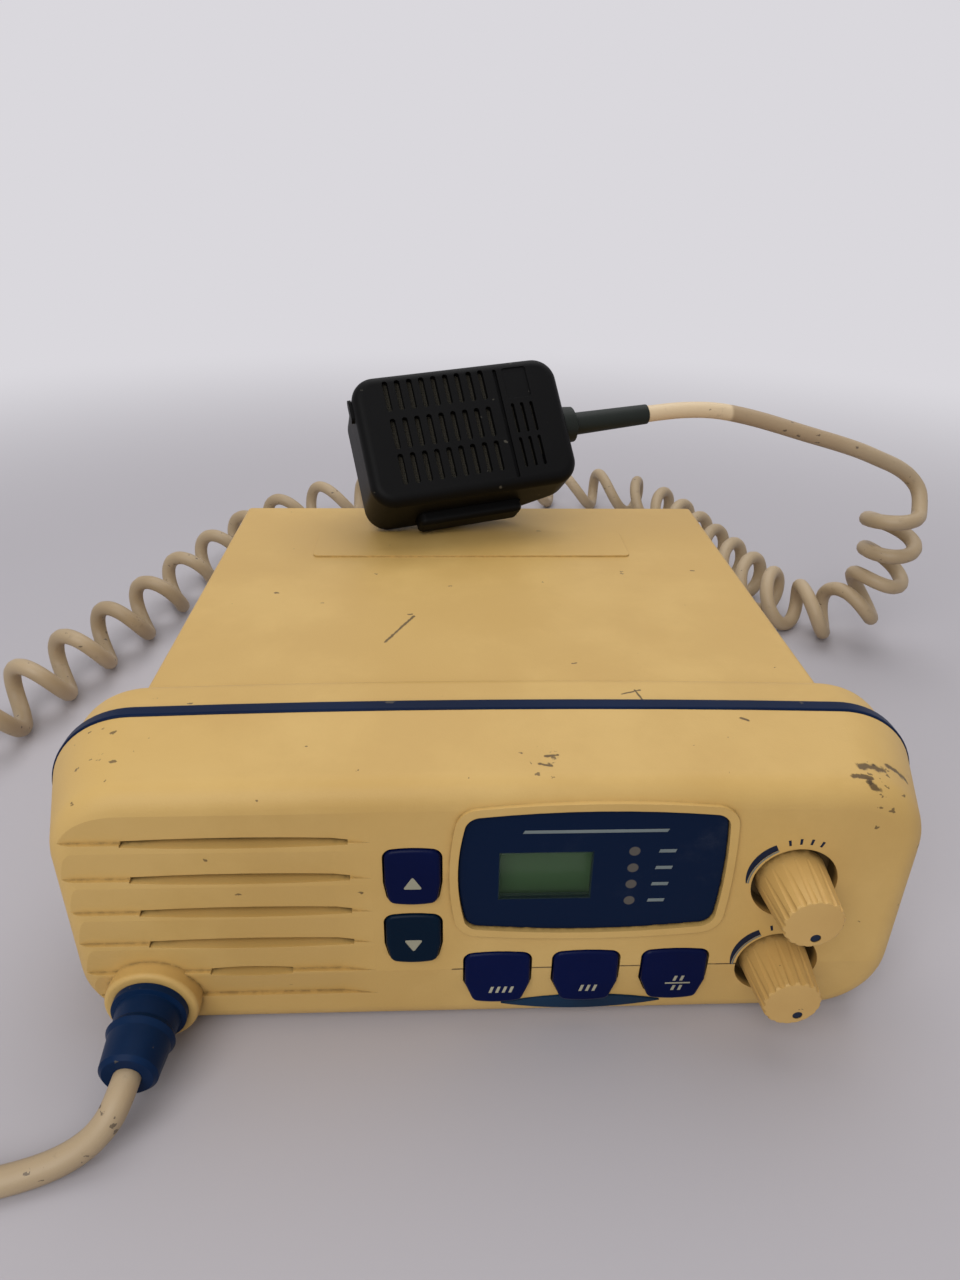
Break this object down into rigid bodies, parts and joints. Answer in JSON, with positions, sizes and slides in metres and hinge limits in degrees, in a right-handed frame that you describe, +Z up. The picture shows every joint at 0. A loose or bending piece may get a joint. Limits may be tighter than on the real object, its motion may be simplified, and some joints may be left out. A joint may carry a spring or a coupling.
{
  "type": "marine VHF radio",
  "caption": "Fixed-mount marine VHF radio with a fist microphone on a curly cord, front speaker, display, keys and two knobs.",
  "frame": {"origin": "centre of the flat underside of the case", "axes": "+Z up, the front panel faces -Y, +X to the right as seen from the front"},
  "size_m": [0.3275, 0.3677, 0.1084],
  "materials": {
    "cream_plastic": "aged cream moulded plastic",
    "navy_rubber": "dark blue moulded rubber",
    "navy_gloss": "dark blue glossy plastic",
    "button_blue": "glossy blue keytop",
    "button_teal": "worn dark teal keytop",
    "lcd_glass": "dull green display glass",
    "white_plastic": "white moulded plastic",
    "clear_plastic": "clear acrylic",
    "led_chip": "small white chips",
    "keypad_silicone": "silicone rubber",
    "circuit_board": "green glass-fibre laminate",
    "steel": "zinc plated steel",
    "brass": "turned brass",
    "nickel": "nickel plated brass",
    "black_plastic": "black moulded plastic",
    "black_rubber": "black rubber",
    "speaker_paper": "treated paper",
    "speaker_cloth": "thin acoustic cloth",
    "magnet": "ferrite",
    "aluminium": "cast aluminium",
    "tinplate": "tinned sheet",
    "insulator": "insulating plastic",
    "ribbon": "grey ribbon cable",
    "cord_jacket": "aged cord jacket"
  },
  "bodies": {
    "radio": {"front_bezel": "cream_plastic", "bezel_gasket": "navy_rubber", "rear_collar": "cream_plastic", "top_cover": "cream_plastic", "bottom_case": "cream_plastic", "heat_sink": "aluminium", "display_lens": "navy_gloss", "lcd_panel": "lcd_glass", "lcd_holder": "white_plastic", "led_light_pipe": "clear_plastic", "indicator_leds": "led_chip", "keypad_mat": "keypad_silicone", "front_circuit_board": "circuit_board", "board_screws": "steel", "squelch_control": "black_plastic", "volume_control": "black_plastic", "control_nuts": "steel", "speaker_frame": "tinplate", "speaker_cone": "speaker_paper", "speaker_magnet": "magnet", "speaker_cloth": "speaker_cloth", "speaker_screws": "steel", "mic_cord_gland": "cord_jacket", "gland_clip": "black_plastic", "badge_plate": "navy_gloss", "front_screws": "steel", "case_screws": "steel", "panel_screws": "steel", "main_circuit_board": "circuit_board", "rf_power_module": "black_plastic", "shield_can": "tinplate", "filter_capacitors": "black_plastic", "ribbon_cable": "ribbon", "antenna_socket": "nickel", "antenna_contact": "insulator", "power_grommet": "black_rubber", "speaker_jack": "black_plastic", "bracket_inserts": "brass", "mic_front_shell": "black_plastic", "mic_rear_shell": "black_plastic", "mic_ptt_switch": "black_plastic", "mic_circuit_board": "circuit_board", "mic_capsule": "aluminium", "mic_grille_cloth": "speaker_cloth", "mic_screws": "steel", "mic_hang_button": "steel", "mic_strain_relief": "black_rubber", "mic_cord_lead": "cord_jacket", "mic_cord_coil": "cord_jacket", "mic_cord_tail": "cord_jacket"},
    "squelch": {"squelch_knob": "cream_plastic", "squelch_shaft": "steel"},
    "volume": {"volume_knob": "cream_plastic", "volume_shaft": "steel"},
    "channel_up": {"channel_up_button": "button_blue"},
    "channel_down": {"channel_down_button": "button_teal"},
    "function_left": {"function_button_left": "button_blue"},
    "function_middle": {"function_button_middle": "button_blue"},
    "function_right": {"function_button_right": "button_blue"},
    "push_to_talk": {"mic_ptt_button": "black_rubber"}
  },
  "joints": [
    {"name": "squelch_turn", "type": "hinge", "parent": "radio", "child": "squelch", "pos_m": [0.0582, -0.0985, 0.0383], "axis": [0, 1, 0], "range_deg": [-300, 0]},
    {"name": "volume_turn", "type": "hinge", "parent": "radio", "child": "volume", "pos_m": [0.0582, -0.0985, 0.0169], "axis": [0, 1, 0], "range_deg": [-289, 11]},
    {"name": "channel_up_press", "type": "slide", "parent": "radio", "child": "channel_up", "axis": [0, 1, 0], "range_m": [0, 0.0008], "stiffness_N_per_m": 600},
    {"name": "channel_down_press", "type": "slide", "parent": "radio", "child": "channel_down", "axis": [0, 1, 0], "range_m": [0, 0.0008], "stiffness_N_per_m": 600},
    {"name": "function_left_press", "type": "slide", "parent": "radio", "child": "function_left", "axis": [0, 1, 0], "range_m": [0, 0.0008], "stiffness_N_per_m": 600},
    {"name": "function_middle_press", "type": "slide", "parent": "radio", "child": "function_middle", "axis": [0, 1, 0], "range_m": [0, 0.0008], "stiffness_N_per_m": 600},
    {"name": "function_right_press", "type": "slide", "parent": "radio", "child": "function_right", "axis": [0, 1, 0], "range_m": [0, 0.0008], "stiffness_N_per_m": 600},
    {"name": "ptt_press", "type": "slide", "parent": "radio", "child": "push_to_talk", "axis": [-0.2085, 0.5822, 0.7859], "range_m": [0, 0.0012], "stiffness_N_per_m": 900}
  ]
}
